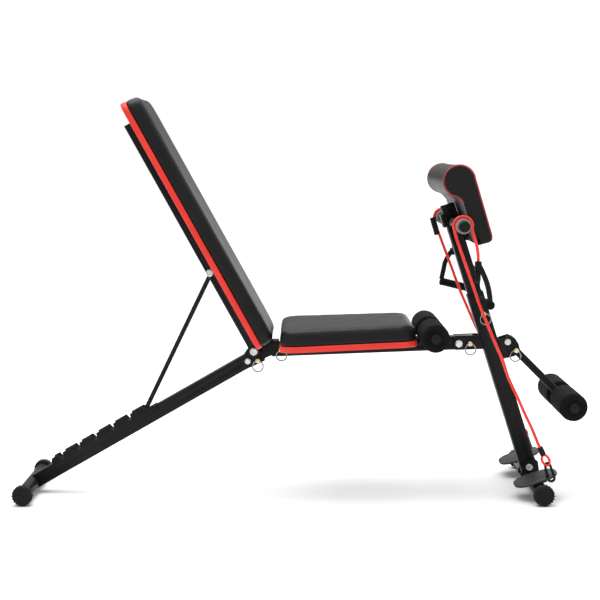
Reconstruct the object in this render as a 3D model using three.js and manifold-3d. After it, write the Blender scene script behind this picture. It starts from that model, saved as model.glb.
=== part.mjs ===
// Adjustable weight bench with a leg developer, a preacher pad and two elastic cords.
// Millimetres. X runs from the rear foot to the front foot, Z is up, and the floor is Z = 0.
import * as THREE from 'three';
import { mergeVertices } from 'three/addons/utils/BufferGeometryUtils.js';
import Module from 'manifold-3d';

const wasm = await Module();
wasm.setup();

// ---- driving dimensions -------------------------------------------------------------------

const GAP = 0.3;
const TUBE = 38;
const WALL = 2;
const OUTER_TUBE = 45;
const BOLT_R = 5;
const HOLE_R = 5.6;
const PIN_R = 4;
const PIN_HOLE_R = 4.6;
const BOSS_R = 7;
const BOSS_H = 5;
const CAP_R = 28;
const CAP_LENGTH = 26;
const ROUND = 24;
const FOOT_Z = CAP_R * Math.cos(Math.PI / ROUND);
const BAR_R = 12.5;
const ROLLER_R = 37.5;
const ROLLER_IN = 24;
const ROLLER_OUT = 178;
const PLATE_IN = 19.5;
const PLATE_OUT = 23.5;

const LEG_PIVOT = [-145.8, 364.4];
const LEG_ANGLE = 29.15;
const LEG_LENGTH = 690;
const REAR_AXIS = [-751, FOOT_Z];
const REAR_HALF = 174;
const FRONT_AXIS = [637, FOOT_Z];
const FRONT_HALF = 240;

const BACK_PIVOT = [-128, 395];
const BACK_LEAN = 28.2;
const BACK_HALF = 140;
const STRUT_AT = 246;
const STRUT_ANGLE = 26.5;
const STRUT_LENGTH = 412;
const STRUT_PIN_AT = 396;
const STRUT_THICK = 12;

const BEAM_BASE = 377;
const BEAM_TILT = 1.525;
const BEAM_START = -79;
const BEAM_END = 476;
const SEAT_START = -55;
const SEAT_END = 313;
const SEAT_REAR_HALF = 185;
const SEAT_FRONT_HALF = 165;
const THIGH_AT = 359.6;

const POST_FOOT = [525.4, 400];
const POST_LEAN = 17.17;
const POST_TOP = 150.7;
const POST_BOTTOM = -380;
const INNER_BOTTOM = -60;
const INNER_TOP = 406;
const PULLEY_AT = 357.9;

const FOLD_BOLT = [436, 406];
const FOLD_PIN = [466, 406];
const LEG_BOLT = [570, 409];
const BASE_BOLT = [630.5, 58.5];
const LEG_PIN = [593, 386];
const ARM_ANGLE = 45.6;
const ARM_LENGTH = 220;

const SPOOL_Y = 256;
const SPOOL_R = 18.6;
const CORD_ARC_R = 24.2;
const SPOOL_HALF = 20;
const PULLEY = [419.8, 742];
const CORD_Y = 258;
const CORD_R = 4;
const HOOK_Y = 180;
const PLATE_SLOPE = 18;
const PLATE_CENTRE = [628, 140, 54];

// ---- materials ----------------------------------------------------------------------------

function finish(color, roughness, metalness = 0) {
  return () => new THREE.MeshStandardMaterial({ color, roughness, metalness });
}

const powderCoat = finish(0x242427, 0.45, 0.2);
const zinc = finish(0xb9bcc0, 0.35, 0.9);
const nickel = finish(0xd2d2d0, 0.25, 1);
const blackPlastic = finish(0x1b1b1d, 0.6);
const foam = finish(0x202022, 0.95);
const leatherette = finish(0x2a2a2c, 0.5);
const redVinyl = finish(0xe03428, 0.45);
const cordRubber = finish(0xe8372f, 0.5);
const greyRubber = finish(0x8d867d, 0.8);
const webbing = finish(0x2b2b2d, 0.85);

// ---- solids -------------------------------------------------------------------------------

function solidOf(geometry) {
  const bare = geometry.clone();
  bare.deleteAttribute('normal');
  bare.deleteAttribute('uv');
  const merged = mergeVertices(bare, 1e-4);
  const vertProperties = new Float32Array(merged.attributes.position.array);
  const triVerts = new Uint32Array(merged.index.array);
  return new wasm.Manifold(new wasm.Mesh({ numProp: 3, vertProperties, triVerts }));
}

function geometryOf(solid) {
  const mesh = solid.getMesh();
  const geometry = new THREE.BufferGeometry();
  geometry.setAttribute('position', new THREE.BufferAttribute(mesh.vertProperties, 3));
  geometry.setIndex(new THREE.BufferAttribute(mesh.triVerts, 1));
  geometry.computeVertexNormals();
  return geometry;
}

function join(first, ...others) {
  return geometryOf(others.reduce((sum, piece) => sum.add(solidOf(piece)), solidOf(first)));
}

function cut(first, ...others) {
  return geometryOf(others.reduce((rest, piece) => rest.subtract(solidOf(piece)), solidOf(first)));
}

function outline(points) {
  return new THREE.Shape(points.map(([a, b]) => new THREE.Vector2(a, b)));
}

function roundedRect(width, height, radius) {
  const [w, h] = [width / 2, height / 2];
  const shape = new THREE.Shape();
  shape.absarc(w - radius, h - radius, radius, 0, Math.PI / 2);
  shape.absarc(radius - w, h - radius, radius, Math.PI / 2, Math.PI);
  shape.absarc(radius - w, radius - h, radius, Math.PI, 1.5 * Math.PI);
  shape.absarc(w - radius, radius - h, radius, 1.5 * Math.PI, 2 * Math.PI);
  return shape;
}

// A side outline in X and Z, given a thickness from yLow to yHigh.
function slab(shape, yLow, yHigh, curveSegments = 8) {
  const options = { depth: yHigh - yLow, bevelEnabled: false, curveSegments };
  return new THREE.ExtrudeGeometry(shape, options).rotateX(Math.PI / 2).translate(0, yHigh, 0);
}

// A plan outline in X and Y, with its top and bottom edges rounded by the bevel.
function cushionBlock(shape, low, high, bevel, curveSegments = 3, bevelSegments = 2) {
  return new THREE.ExtrudeGeometry(shape, {
    depth: high - low - 2 * bevel,
    bevelThickness: bevel,
    bevelSize: bevel,
    bevelOffset: -bevel,
    bevelSegments,
    curveSegments,
  }).translate(0, 0, low + bevel);
}

function box(xLow, xHigh, halfY, zLow, zHigh) {
  const geometry = new THREE.BoxGeometry(xHigh - xLow, 2 * halfY, zHigh - zLow);
  return geometry.translate((xLow + xHigh) / 2, 0, (zLow + zHigh) / 2);
}

// A square tube along Z or X with rounded corners and open ends.
function tubeAlongZ(width, depth, wall, low, high) {
  const shape = roundedRect(width, depth, 4);
  shape.holes.push(roundedRect(width - 2 * wall, depth - 2 * wall, 2));
  const options = { depth: high - low, bevelEnabled: false, curveSegments: 1 };
  return new THREE.ExtrudeGeometry(shape, options).translate(0, 0, low);
}

function tubeAlongX(height, depth, wall, low, high) {
  return tubeAlongZ(height, depth, wall, low, high).rotateY(Math.PI / 2);
}

// A round bar across the bench, from yLow to yHigh, at a point given by X and Z.
function crossRod(at, radius, yLow, yHigh, sides = 12) {
  const rod = new THREE.CylinderGeometry(radius, radius, yHigh - yLow, sides);
  return rod.translate(at[0], (yLow + yHigh) / 2, at[1]);
}

// A turned piece about a Y axis; the profile is a list of radius and Y.
function turned(at, profile, segments = ROUND) {
  const points = profile.map(([r, y]) => new THREE.Vector2(r, y));
  const half = Math.PI / segments;
  return new THREE.LatheGeometry(points, segments, half).translate(at[0], 0, at[1]);
}

function tubeThrough(points, radius, steps, sides = 8) {
  const section = new THREE.Shape();
  section.absarc(0, 0, radius, 0, 2 * Math.PI);
  const path = new THREE.CatmullRomCurve3(points.map((p) => new THREE.Vector3(...p)));
  const options = { steps, extrudePath: path, curveSegments: sides / 2, bevelEnabled: false };
  return new THREE.ExtrudeGeometry(section, options);
}

function rodBetween(start, end, radius, sides = 16) {
  const [from, to] = [new THREE.Vector3(...start), new THREE.Vector3(...end)];
  const span = to.clone().sub(from);
  const rod = new THREE.CylinderGeometry(radius, radius, span.length(), sides);
  const turn = new THREE.Quaternion().setFromUnitVectors(
    new THREE.Vector3(0, 1, 0), span.clone().normalize());
  return rod.applyQuaternion(turn).translate(...from.add(to).multiplyScalar(0.5).toArray());
}

// ---- scene helpers ------------------------------------------------------------------------

const bench = new THREE.Group();

function place(name, geometry, material, group = bench) {
  const mesh = new THREE.Mesh(geometry, material());
  mesh.name = name;
  group.add(mesh);
  return mesh;
}

// A group whose origin is at X, Z and that leans about the Y axis by some degrees.
function leaning([x, z], degrees) {
  const group = new THREE.Group();
  group.position.set(x, 0, z);
  group.rotation.y = THREE.MathUtils.degToRad(degrees);
  bench.add(group);
  return group;
}

// Turns a world piece into the coordinates of a leaning group.
function intoGroup(geometry, group) {
  group.updateMatrix();
  return geometry.applyMatrix4(group.matrix.clone().invert());
}

function hexBolt(at, half, acrossFlats, headHeight = 6, headSides = 6) {
  const headR = headSides === 6 ? acrossFlats / Math.sqrt(3) : acrossFlats / 2;
  const near = crossRod(at, headR, -half - headHeight, -half, headSides);
  const far = crossRod(at, headR, half, half + headHeight, headSides);
  return join(crossRod(at, BOLT_R, -half - 1, half + 1), near, far);
}

// A spring plunger with a split ring, on a face at the near side of a plate or a tube.
function pullPin(at, tip, face, ring) {
  const seat = face - BOSS_H - GAP;
  const head = crossRod(at, 6.5, seat - 9, seat, 14);
  const shaft = crossRod(at, PIN_R, seat - 1, tip, 12);
  const loop = new THREE.TorusGeometry(14.6, 1.4, 5, 16);
  loop.rotateX(Math.PI / 2).translate(ring[0], seat - 5, ring[1]);
  return join(head, shaft, loop);
}

function boss(at, face) {
  return crossRod(at, BOSS_R, face - BOSS_H, face + 1, 16);
}

function pinHole(at, face) {
  return crossRod(at, PIN_HOLE_R, face - BOSS_H - 1, face + 8, 12);
}

function footCap(axis, outer, side) {
  const inner = outer - CAP_LENGTH;
  const profile = [
    [0, outer - 4], [TUBE / 2 + GAP + 0.2, outer - 4], [TUBE / 2 + GAP + 0.2, inner],
    [CAP_R - 2, inner], [CAP_R, inner + 2], [CAP_R, outer - 3], [CAP_R - 3, outer], [0, outer],
  ];
  return turned(axis, side > 0 ? profile : profile.map(([r, y]) => [r, -y]).reverse());
}

function foamRoller(at, side) {
  const profile = [
    [BAR_R + 0.6, ROLLER_IN], [ROLLER_R - 5, ROLLER_IN], [ROLLER_R, ROLLER_IN + 5],
    [ROLLER_R, ROLLER_OUT - 5], [ROLLER_R - 5, ROLLER_OUT], [BAR_R + 0.6, ROLLER_OUT],
    [BAR_R + 0.6, ROLLER_IN],
  ];
  return turned(at, side > 0 ? profile : profile.map(([r, y]) => [r, -y]).reverse(), 20);
}

function barCap(at, side) {
  const [low, high] = [ROLLER_OUT + 2 + GAP, ROLLER_OUT + 8];
  return side > 0 ? crossRod(at, 13.5, low, high, 20) : crossRod(at, 13.5, -high, -low, 20);
}

const sides = [['near', -1], ['far', 1]];

// ---- rear leg -----------------------------------------------------------------------------

function rackOutline() {
  const top = 34.2;
  const points = [[-283, 6], [-283, 21], [-306, 21], [-320, top]];
  for (let tooth = 0; tooth < 5; tooth += 1) {
    const x = -54.2 * tooth;
    points.push([x - 357.5, top], [x - 362.5, 17.8], [x - 369.5, 17.8], [x - 374.5, top]);
  }
  points.push([-608, top], [-614, 27], [-614, 6]);
  return outline(points.reverse());
}

function rearLeg() {
  const leg = leaning(LEG_PIVOT, -LEG_ANGLE);
  const end = new THREE.Shape();
  end.moveTo(0, -TUBE / 2);
  end.lineTo(23, -TUBE / 2);
  end.absarc(0, 0, 30, -0.6857, 0.6857);
  end.lineTo(0, TUBE / 2);
  const tube = join(
    tubeAlongX(TUBE, TUBE, WALL, -LEG_LENGTH, 0.5),
    slab(end, TUBE / 2 - WALL, TUBE / 2),
    slab(end, -TUBE / 2, WALL - TUBE / 2),
  );
  const cope = intoGroup(crossRod(REAR_AXIS, TUBE / 2 + 0.4, -40, 40, 28), leg);
  place('rear_leg_tube', cut(tube, crossRod([0, 0], HOLE_R, -40, 40), cope), powderCoat, leg);
  const channel = slab(rackOutline(), -22.8, 22.8);
  const above = box(-640, -270, 19.3, 21.3, 60);
  const below = box(-640, -270, 19.3, 0, 19.3);
  place('toothed_rack', cut(channel, above, below), powderCoat, leg);
}

function stabiliser(axis, half) {
  const reach = half - 4 - GAP;
  const bar = crossRod(axis, TUBE / 2, -reach, reach, 28);
  const bore = crossRod(axis, TUBE / 2 - WALL, -half, half, 24);
  return [bar, bore];
}

function rearFoot() {
  const [bar, bore] = stabiliser(REAR_AXIS, REAR_HALF);
  place('rear_stabiliser', cut(bar, bore), powderCoat);
  for (const [side, sign] of sides) {
    place(`rear_foot_cap_${side}`, footCap(REAR_AXIS, REAR_HALF, sign), blackPlastic);
  }
}

// ---- centre bracket -----------------------------------------------------------------------

const LEG_LOCK_PIN = [-118, 366];

function centreBracket() {
  const shape = new THREE.Shape();
  shape.moveTo(-106, 408);
  for (const [x, z] of [[-81, 420], [-59, 420], [-59, 402], [-68, 380], [-81, 379],
    [-98, 372], [-99, 365], [-130, 350]]) {
    shape.lineTo(x, z);
  }
  shape.absarc(...LEG_PIVOT, 19, -1.13, 2.88, true);
  shape.absarc(...BACK_PIVOT, 16, 2.88, 0.8, true);
  const channel = slab(outline([[-200, 300], [-40, 300], [-40, 416], [-82, 416], [-108, 403.5],
    [-112, 430], [-200, 430]]), -PLATE_IN, PLATE_IN);
  const body = join(cut(slab(shape, -PLATE_OUT, PLATE_OUT), channel), boss(LEG_LOCK_PIN, -PLATE_OUT));
  place('centre_bracket', cut(
    body,
    crossRod(LEG_PIVOT, HOLE_R, -40, 40),
    crossRod(BACK_PIVOT, HOLE_R, -40, 40),
    pinHole(LEG_LOCK_PIN, -PLATE_OUT),
  ), powderCoat);
  place('rear_leg_bolt', hexBolt(LEG_PIVOT, PLATE_OUT + GAP, 15, 5), zinc);
  const pin = pullPin(LEG_LOCK_PIN, -PLATE_IN, -PLATE_OUT, [-118, 350.8]);
  place('rear_leg_pull_pin', pin, nickel);
}

// ---- backrest -----------------------------------------------------------------------------

const RAIL_IN = 27;
const RAIL_SIZE = 25;
const RAIL_X = 3.4;
const BOARD_BACK = 16.6;
const BOARD_THICK = 16;
const BOARD_LOW = 5;
const BOARD_HIGH = 753;

// The backrest's plan outline, turned to stand along Z and face +X.
function standing(geometry) {
  return geometry.rotateY(Math.PI / 2).translate(0, 0, (BOARD_LOW + BOARD_HIGH) / 2);
}

function backrest() {
  const back = leaning(BACK_PIVOT, -BACK_LEAN);
  const holes = [crossRod([0, 0], HOLE_R, -60, 60), crossRod([0, STRUT_AT], HOLE_R, -60, 60)];
  const railMiddle = RAIL_IN + RAIL_SIZE / 2;
  for (const [side, sign] of sides) {
    const rail = tubeAlongZ(RAIL_SIZE, RAIL_SIZE, 1.5, -14, 702);
    place(`backrest_rail_${side}`, cut(rail.translate(RAIL_X, sign * railMiddle, 0), ...holes),
      powderCoat, back);
  }
  const plan = roundedRect(BOARD_HIGH - BOARD_LOW, 2 * BACK_HALF, 32);
  const boardFront = BOARD_BACK + BOARD_THICK;
  place('backrest_board', standing(cushionBlock(plan, BOARD_BACK, boardFront, 2, 3, 1)), redVinyl, back);
  const pad = cushionBlock(plan, boardFront + GAP, 69.8, 10);
  place('backrest_cushion', standing(pad), leatherette, back);
  const reach = RAIL_IN + RAIL_SIZE + GAP;
  place('backrest_pivot_bolt', hexBolt([0, 0], reach, 19, 7), zinc, back);
  place('strut_bolt', hexBolt([0, STRUT_AT], reach, 19, 6), zinc, back);
}

function strut() {
  const lean = THREE.MathUtils.degToRad(BACK_LEAN);
  const top = [
    BACK_PIVOT[0] - STRUT_AT * Math.sin(lean),
    BACK_PIVOT[1] + STRUT_AT * Math.cos(lean),
  ];
  const arm = leaning(top, STRUT_ANGLE);
  const bar = slab(roundedRect(STRUT_THICK, STRUT_LENGTH + STRUT_THICK, 6), -15, 15, 3);
  const sleeve = crossRod([0, 0], 11, -26, 26, 20);
  const foot = crossRod([2.5, -STRUT_PIN_AT], 4.5, -22, 22, 10);
  const body = join(bar.translate(2.5, 0, -STRUT_LENGTH / 2), sleeve, foot);
  place('backrest_strut', cut(body, crossRod([0, 0], HOLE_R, -40, 40)), powderCoat, arm);
}

// ---- seat ---------------------------------------------------------------------------------

const BEAM_PIN = [-53.5, 395];
const SEAT_BOARD_LOW = 30.8;
const SEAT_BOARD_HIGH = 46.8;
const SEAT_TOP = 87;

function seatOutline() {
  const corner = 42;
  const [x0, x1] = [SEAT_START, SEAT_END];
  const [rear, front] = [SEAT_REAR_HALF, SEAT_FRONT_HALF];
  const shape = new THREE.Shape();
  shape.absarc(x1 - corner, corner - front, corner, -Math.PI / 2, 0);
  shape.absarc(x1 - corner, front - corner, corner, 0, Math.PI / 2);
  shape.absarc(x0 + corner, rear - corner, corner, Math.PI / 2, Math.PI);
  shape.absarc(x0 + corner, corner - rear, corner, Math.PI, 1.5 * Math.PI);
  return shape;
}

function seat() {
  const group = leaning([0, BEAM_BASE], -BEAM_TILT);
  const beam = tubeAlongX(TUBE, TUBE, WALL, BEAM_START, BEAM_END).translate(0, 0, TUBE / 2);
  const pinAt = [BEAM_PIN[0], BEAM_PIN[1] - BEAM_BASE + 1.4];
  const foldHole = intoGroup(crossRod(FOLD_BOLT, HOLE_R, -40, 40), group);
  place('seat_beam', cut(join(beam, boss(pinAt, -TUBE / 2)), pinHole(pinAt, -TUBE / 2), foldHole),
    powderCoat, group);
  const pin = pullPin(pinAt, 8 - TUBE / 2, -TUBE / 2, [pinAt[0] + 1, pinAt[1] - 15.2]);
  place('seat_beam_pull_pin', pin, nickel, group);
  const board = cushionBlock(seatOutline(), SEAT_BOARD_LOW, SEAT_BOARD_HIGH, 2, 4, 1);
  const groove = box(-200, 400, TUBE / 2 + 0.5, 0, TUBE + GAP);
  place('seat_board', cut(board, groove), redVinyl, group);
  const pad = cushionBlock(seatOutline(), SEAT_BOARD_HIGH + GAP, SEAT_TOP, 10, 4);
  place('seat_cushion', pad, leatherette, group);
  const barAt = [THIGH_AT, TUBE + BAR_R + 3];
  const reach = ROLLER_OUT + 2;
  const bar = crossRod(barAt, BAR_R, -reach, reach, 24);
  const saddle = box(THIGH_AT - 14, THIGH_AT + 14, 15, TUBE + GAP, TUBE + BAR_R);
  place('thigh_crossbar', join(bar, saddle), powderCoat, group);
  for (const [side, sign] of sides) {
    place(`thigh_roller_${side}`, foamRoller(barAt, sign), foam, group);
    place(`thigh_bar_cap_${side}`, barCap(barAt, sign), blackPlastic, group);
  }
}

// ---- front post ---------------------------------------------------------------------------

const POST_PIN = [4, 91];

// A U bracket welded on one face of the post; faceX is that face in the post's own X.
function postBracket(post, shape, direction, cuts) {
  const half = OUTER_TUBE / 2;
  const web = half + GAP + 4;
  const postSide = direction > 0 ? box(-300, half + GAP, 60, -300, 300)
    : box(-half - GAP, 300, 60, -300, 300);
  const channel = direction > 0 ? box(web, 400, PLATE_IN, -300, 300)
    : box(-400, -web, PLATE_IN, -300, 300);
  const body = intoGroup(slab(shape, -PLATE_OUT, PLATE_OUT), post);
  return cut(cut(body, postSide, channel), ...cuts);
}

function withBoss(geometry, at, face) {
  return cut(join(geometry, boss(at, face)), pinHole(at, face));
}

function localPoint([x, z], group) {
  const point = new THREE.Vector3(x, 0, z);
  group.updateMatrix();
  point.applyMatrix4(group.matrix.clone().invert());
  return [point.x, point.z];
}

function postOuter() {
  const post = leaning(POST_FOOT, -POST_LEAN);
  const tube = tubeAlongZ(OUTER_TUBE, OUTER_TUBE, WALL, POST_BOTTOM, POST_TOP);
  const cope = intoGroup(crossRod(FRONT_AXIS, TUBE / 2 + 0.4, -60, 60, 28), post);
  const baseHole = intoGroup(crossRod(BASE_BOLT, HOLE_R, -60, 60), post);
  const cored = cut(tube, cope, baseHole);
  const shell = withBoss(cored, POST_PIN, -OUTER_TUBE / 2);
  const bore = box(-19.3, 19.3, 19.3, POST_BOTTOM - 1, POST_TOP + 1);
  place('post_outer_tube', cut(shell, bore), powderCoat, post);
  const pin = pullPin(POST_PIN, -19.6, -OUTER_TUBE / 2, [POST_PIN[0] + 1, POST_PIN[1] - 15.5]);
  place('post_pull_pin', pin, nickel, post);

  const foldShape = outline([[422, 423], [422, 392], [426, 388.4], [560, 391.5], [560, 430.5],
    [426, 427.2]]);
  const foldAt = localPoint(FOLD_BOLT, post);
  const foldPinAt = localPoint(FOLD_PIN, post);
  const fold = postBracket(post, foldShape, -1, [crossRod(foldAt, HOLE_R, -40, 40)]);
  place('fold_bracket', withBoss(fold, foldPinAt, -PLATE_OUT), powderCoat, post);

  const legShape = outline([[530, 412], [530, 362], [558, 362], [588, 369], [600, 377],
    [604, 389], [601, 403], [590, 420], [575, 426], [560, 421]]);
  const legAt = localPoint(LEG_BOLT, post);
  const legPinAt = localPoint(LEG_PIN, post);
  const bracket = postBracket(post, legShape, 1, [crossRod(legAt, HOLE_R, -40, 40)]);
  place('leg_bracket', withBoss(bracket, legPinAt, -PLATE_OUT), powderCoat, post);

  place('fold_bolt', hexBolt(FOLD_BOLT, PLATE_OUT + GAP, 18, 6), zinc);
  place('fold_pull_pin', pullPin(FOLD_PIN, -PLATE_IN, -PLATE_OUT, [466.5, 390.8]), nickel);
  place('leg_pivot_bolt', hexBolt(LEG_BOLT, PLATE_OUT + GAP, 16, 5, 16), zinc);
  place('leg_pull_pin', pullPin(LEG_PIN, -PLATE_IN, -PLATE_OUT, [590, 371.1]), nickel);
}

function frontFoot() {
  const [bar, bore] = stabiliser(FRONT_AXIS, FRONT_HALF);
  const cheek = outline([[621, 75], [612, 62], [607, 34], [618, 20], [650, 20], [660, 34],
    [655, 74], [645, 82]]);
  const [inner, outer] = [OUTER_TUBE / 2 + GAP, OUTER_TUBE / 2 + GAP + 4];
  const body = join(bar, slab(cheek, -outer, -inner), slab(cheek, inner, outer));
  const hole = crossRod(BASE_BOLT, HOLE_R, -60, 60);
  place('front_stabiliser', cut(body, bore, hole), powderCoat);
  place('base_bolt', hexBolt(BASE_BOLT, outer + GAP, 17, 6), zinc);
  for (const [side, sign] of sides) {
    place(`front_foot_cap_${side}`, footCap(FRONT_AXIS, FRONT_HALF, sign), blackPlastic);
  }
}

function footPlates() {
  const [x, y, z] = PLATE_CENTRE;
  for (const [side, sign] of sides) {
    const group = leaning([x, z], -PLATE_SLOPE);
    group.position.y = sign * y;
    group.updateMatrix();
    const plate = cushionBlock(roundedRect(119, 110, 44), -2.5, 2.5, 1, 4, 1);
    const saddle = box(-10, 26, 28, -22, -1);
    const tube = intoGroup(crossRod(FRONT_AXIS, TUBE / 2 + 0.4, -FRONT_HALF, FRONT_HALF, 28), group);
    const eye = new THREE.CylinderGeometry(5.2, 5.2, 20, 12).rotateX(Math.PI / 2);
    eye.translate(26.5, sign * (HOOK_Y - y), 0);
    const edgeNotch = eye.clone().translate(23, 0, 0);
    const below = box(-80, 80, 60, -60, -12);
    place(`foot_plate_${side}`, cut(join(plate, saddle), tube, eye, edgeNotch, below), powderCoat, group);
  }
}

// ---- leg developer ------------------------------------------------------------------------

function legDeveloper() {
  const arm = leaning(LEG_BOLT, ARM_ANGLE);
  const tube = tubeAlongX(20, TUBE, WALL, -11, ARM_LENGTH + 10);
  const reach = ROLLER_OUT + 2;
  const barAt = [ARM_LENGTH, 0];
  const body = join(tube, crossRod(barAt, BAR_R, -reach, reach, 24));
  place('leg_arm', cut(body, crossRod([0, 0], HOLE_R, -40, 40)), powderCoat, arm);
  for (const [side, sign] of sides) {
    place(`leg_roller_${side}`, foamRoller(barAt, sign), foam, arm);
    place(`leg_bar_cap_${side}`, barCap(barAt, sign), blackPlastic, arm);
  }
}

// ---- upper post, preacher pad and pulley bar ----------------------------------------------

function padOutline() {
  const shape = new THREE.Shape();
  shape.moveTo(463, 689);
  shape.lineTo(492, 696.5);
  shape.quadraticCurveTo(502, 700, 498, 719);
  shape.lineTo(457, 862);
  shape.absarc(415, 856, 42, 0.14, 4.28);
  shape.quadraticCurveTo(419, 813, 425.5, 796);
  return shape;
}

function upperPost() {
  const post = leaning(POST_FOOT, -POST_LEAN);
  const tube = tubeAlongZ(TUBE, TUBE, WALL, INNER_BOTTOM, INNER_TOP);
  const stay = box(-28, -18, 20, 349, 385);
  const plate = box(18, 22.2, 55, 300, 345);
  const bore = box(-16.5, 16.5, 16.5, INNER_BOTTOM - 1, INNER_TOP + 1);
  const holes = [];
  for (let hole = -5; hole < 2; hole += 1) {
    holes.push(crossRod([POST_PIN[0], POST_PIN[1] + 25 * hole + 75], PIN_HOLE_R, -30, 0, 10));
  }
  const barHole = crossRod([0, PULLEY_AT], BAR_R + 0.5, -60, 60, 24);
  place('post_inner_tube', cut(join(tube, stay, plate), bore, barHole, ...holes), powderCoat, post);
  place('preacher_pad', slab(padOutline(), -221, 221, 10), leatherette);

  const bar = crossRod(PULLEY, BAR_R, -295, 295, 24);
  const core = crossRod(PULLEY, BAR_R - WALL, -300, 300, 20);
  place('pulley_crossbar', cut(bar, core), powderCoat);
  for (const [side, sign] of sides) {
    const flip = (profile) => (sign > 0 ? profile : profile.map(([r, y]) => [r, -y]).reverse());
    const [low, high] = [SPOOL_Y - SPOOL_HALF, SPOOL_Y + SPOOL_HALF];
    place(`cord_sleeve_${side}`, turned(PULLEY, flip([
      [BAR_R + 0.6, low], [SPOOL_R - 2, low], [SPOOL_R, low + 2], [SPOOL_R, high - 2],
      [SPOOL_R - 2, high], [BAR_R + 0.6, high], [BAR_R + 0.6, low],
    ]), 24), greyRubber);
    place(`pulley_bar_cap_${side}`, turned(PULLEY, flip([
      [0, 295.4], [BAR_R + 0.4, 295.4], [BAR_R + 0.4, 280], [14.4, 280], [14.4, 297.5], [12, 300],
      [0, 300],
    ]), 24), blackPlastic);
  }
}

// ---- cords, hooks and handles -------------------------------------------------------------

// The run from the cord's sleeve down to its hook, on the far side; the near side mirrors it.
const CORD_RUN = [
  [401.8, 256, 716], [412.8, 252, 683], [430, 246, 635], [448.1, 239, 585], [460.4, 235, 550],
  [471.6, 231, 520], [483.6, 228, 491], [505.1, 221, 440], [525.5, 215, 394], [546, 208, 337],
  [571.2, 202, 283], [589.3, 196.5, 243], [610.4, 191, 199], [631.5, 185, 149],
  [643, 181.5, 125.5], [650.6, 180.2, 111.6],
];
const HANDLE_RUN = {
  near: [[461, 240, 650.6], [460, 243, 668], [456, 249, 690], [449.5, 255, 710]],
  far: [[452, 272, 650.6], [453, 269, 668], [452.5, 264, 690], [449, 260, 710]],
};
const STRAP = {
  near: [[489, 262, 551.5], [487, 262, 566], [480, 257, 598], [461, 240, 641], [463, 222, 605],
    [469, 162, 585], [469.5, 153, 558]],
  far: [[419, 272, 564.5], [424, 272, 585], [430, 272, 610], [452, 272, 641], [474, 275, 622],
    [505, 280, 598], [525, 282, 560], [526, 282.5, 537]],
};
const GRIP_R = 11;
const GRIP = {
  near: [[491, 266, 537], [470, 150, 543]],
  far: [[414, 272, 552.5], [527, 283, 522.5]],
};

function cordPoints(side) {
  const points = [...HANDLE_RUN[side]];
  for (let degrees = -18; degrees <= 202; degrees += 20) {
    const angle = THREE.MathUtils.degToRad(degrees);
    points.push([PULLEY[0] + CORD_ARC_R * Math.cos(angle), CORD_Y,
      PULLEY[1] + CORD_ARC_R * Math.sin(angle)]);
  }
  return [...points, ...CORD_RUN];
}

function mirrored(points, sign) {
  return points.map(([x, y, z]) => [x, sign * y, z]);
}

function snapHook() {
  const shape = roundedRect(27.2, 59.2, 13.5);
  shape.holes.push(roundedRect(16.8, 48.8, 8.3));
  return slab(shape, -2.6, 2.6, 2);
}

function cordSet(side, sign) {
  place(`cord_${side}`, tubeThrough(mirrored(cordPoints(side), sign), CORD_R, 54), cordRubber);
  const crimp = mirrored([[631.9, 185, 148], [642.2, 181.8, 127]], sign);
  const bore = mirrored([[627.5, 186.4, 157], [646.6, 180.4, 118]], sign);
  place(`cord_crimp_${side}`, cut(rodBetween(...crimp, 8, 14), rodBetween(...bore, 5.2, 14)),
    blackPlastic);
  const hook = leaning([659.6, 79.5], -16.3);
  hook.position.y = sign * HOOK_Y;
  place(`snap_hook_${side}`, snapHook(), powderCoat, hook);
  const sleeveX = HANDLE_RUN[side][0][0];
  const sleeveY = sign * HANDLE_RUN[side][0][1];
  const sleeve = rodBetween([sleeveX, sleeveY, 631], [sleeveX, sleeveY, 649.4], 8, 14);
  const strap = tubeThrough(mirrored(STRAP[side], sign), 3.5, 22);
  place(`handle_strap_${side}`, join(strap, sleeve), webbing);
  place(`handle_grip_${side}`, rodBetween(...mirrored(GRIP[side], sign), GRIP_R, 18), foam);
}

rearLeg();
rearFoot();
centreBracket();
backrest();
strut();
seat();
postOuter();
frontFoot();
footPlates();
legDeveloper();
upperPost();
for (const [side, sign] of sides) {
  cordSet(side, sign);
}

// The origin is on the floor, under the middle of the bench.
const extent = new THREE.Box3().setFromObject(bench, true);
bench.position.x = -(extent.min.x + extent.max.x) / 2;

export default bench;
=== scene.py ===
"""Adjustable weight bench: its looks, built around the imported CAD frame. Metres, Z up."""

import math

import bmesh
import bpy
import numpy as np
from mathutils import Matrix, Vector, noise


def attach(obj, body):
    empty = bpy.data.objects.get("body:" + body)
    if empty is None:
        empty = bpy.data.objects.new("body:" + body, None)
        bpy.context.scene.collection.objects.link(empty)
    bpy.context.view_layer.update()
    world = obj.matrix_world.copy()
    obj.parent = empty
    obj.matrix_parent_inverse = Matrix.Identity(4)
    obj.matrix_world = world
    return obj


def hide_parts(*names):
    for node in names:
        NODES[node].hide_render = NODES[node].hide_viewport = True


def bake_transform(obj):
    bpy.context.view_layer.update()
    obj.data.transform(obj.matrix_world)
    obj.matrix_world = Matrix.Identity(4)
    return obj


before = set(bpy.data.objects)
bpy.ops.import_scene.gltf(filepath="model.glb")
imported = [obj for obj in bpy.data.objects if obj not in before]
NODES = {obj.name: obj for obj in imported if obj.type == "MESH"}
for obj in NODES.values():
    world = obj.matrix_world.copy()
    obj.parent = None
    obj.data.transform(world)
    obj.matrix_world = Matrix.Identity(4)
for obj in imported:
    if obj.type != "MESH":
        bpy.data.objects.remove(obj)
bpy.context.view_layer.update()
SIDES = (("near", -1), ("far", 1))

# ---- driving dimensions --------------------------------------------------------------------

X_SHIFT = 0.00867  # from the drawing's X to the frame's origin under the middle

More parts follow.
